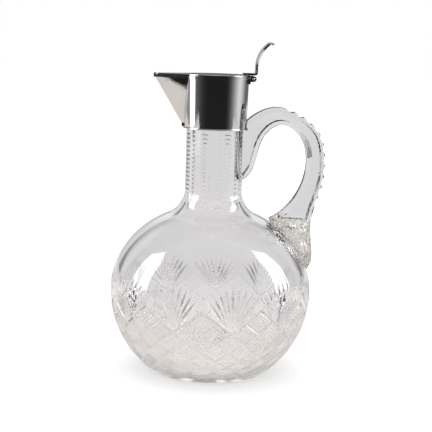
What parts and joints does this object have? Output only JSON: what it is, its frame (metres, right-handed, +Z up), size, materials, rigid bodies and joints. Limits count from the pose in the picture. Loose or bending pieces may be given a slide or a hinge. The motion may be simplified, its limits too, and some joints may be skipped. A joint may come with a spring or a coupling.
{
  "type": "claret jug",
  "caption": "Round-bodied cut-glass claret jug with a notched glass handle, a plain silver mount with a pointed beak, and a flat hinged lid with a thumbpiece.",
  "frame": {"origin": "centre of the standing ring under the base, on the bottle's axis", "axes": "+Z up along the bottle's axis; the spout points along -X and the handle along +X; the hinge pin lies along Y"},
  "size_m": [0.1393, 0.1322, 0.2168],
  "materials": {
    "cut_glass": "clear lead crystal, polished, with wheel-cut fans, diamonds and mitres",
    "silver": "polished silver plate with fine wipe marks",
    "plaster": "matt plaster cement"
  },
  "bodies": {
    "jug": {"glass_body": "cut_glass", "glass_handle": "cut_glass", "cement_ring": "plaster", "collar_band": "silver", "spout_beak": "silver", "upper_rim_wire": "silver", "lower_rim_wire": "silver", "neck_liner": "silver", "hinge_bearer": "silver", "hinge_knuckle_left": "silver", "hinge_knuckle_centre": "silver", "hinge_knuckle_right": "silver", "hinge_pin": "silver"},
    "lid": {"lid_plate": "silver", "lid_bezel": "silver", "lid_knuckle_left": "silver", "lid_knuckle_right": "silver", "thumbpiece": "silver"}
  },
  "joints": [
    {"name": "lid_hinge", "type": "hinge", "parent": "jug", "child": "lid", "pos_m": [0.0236, 0, 0.1931], "axis": [0, 1, 0], "range_deg": [0, 100]}
  ]
}
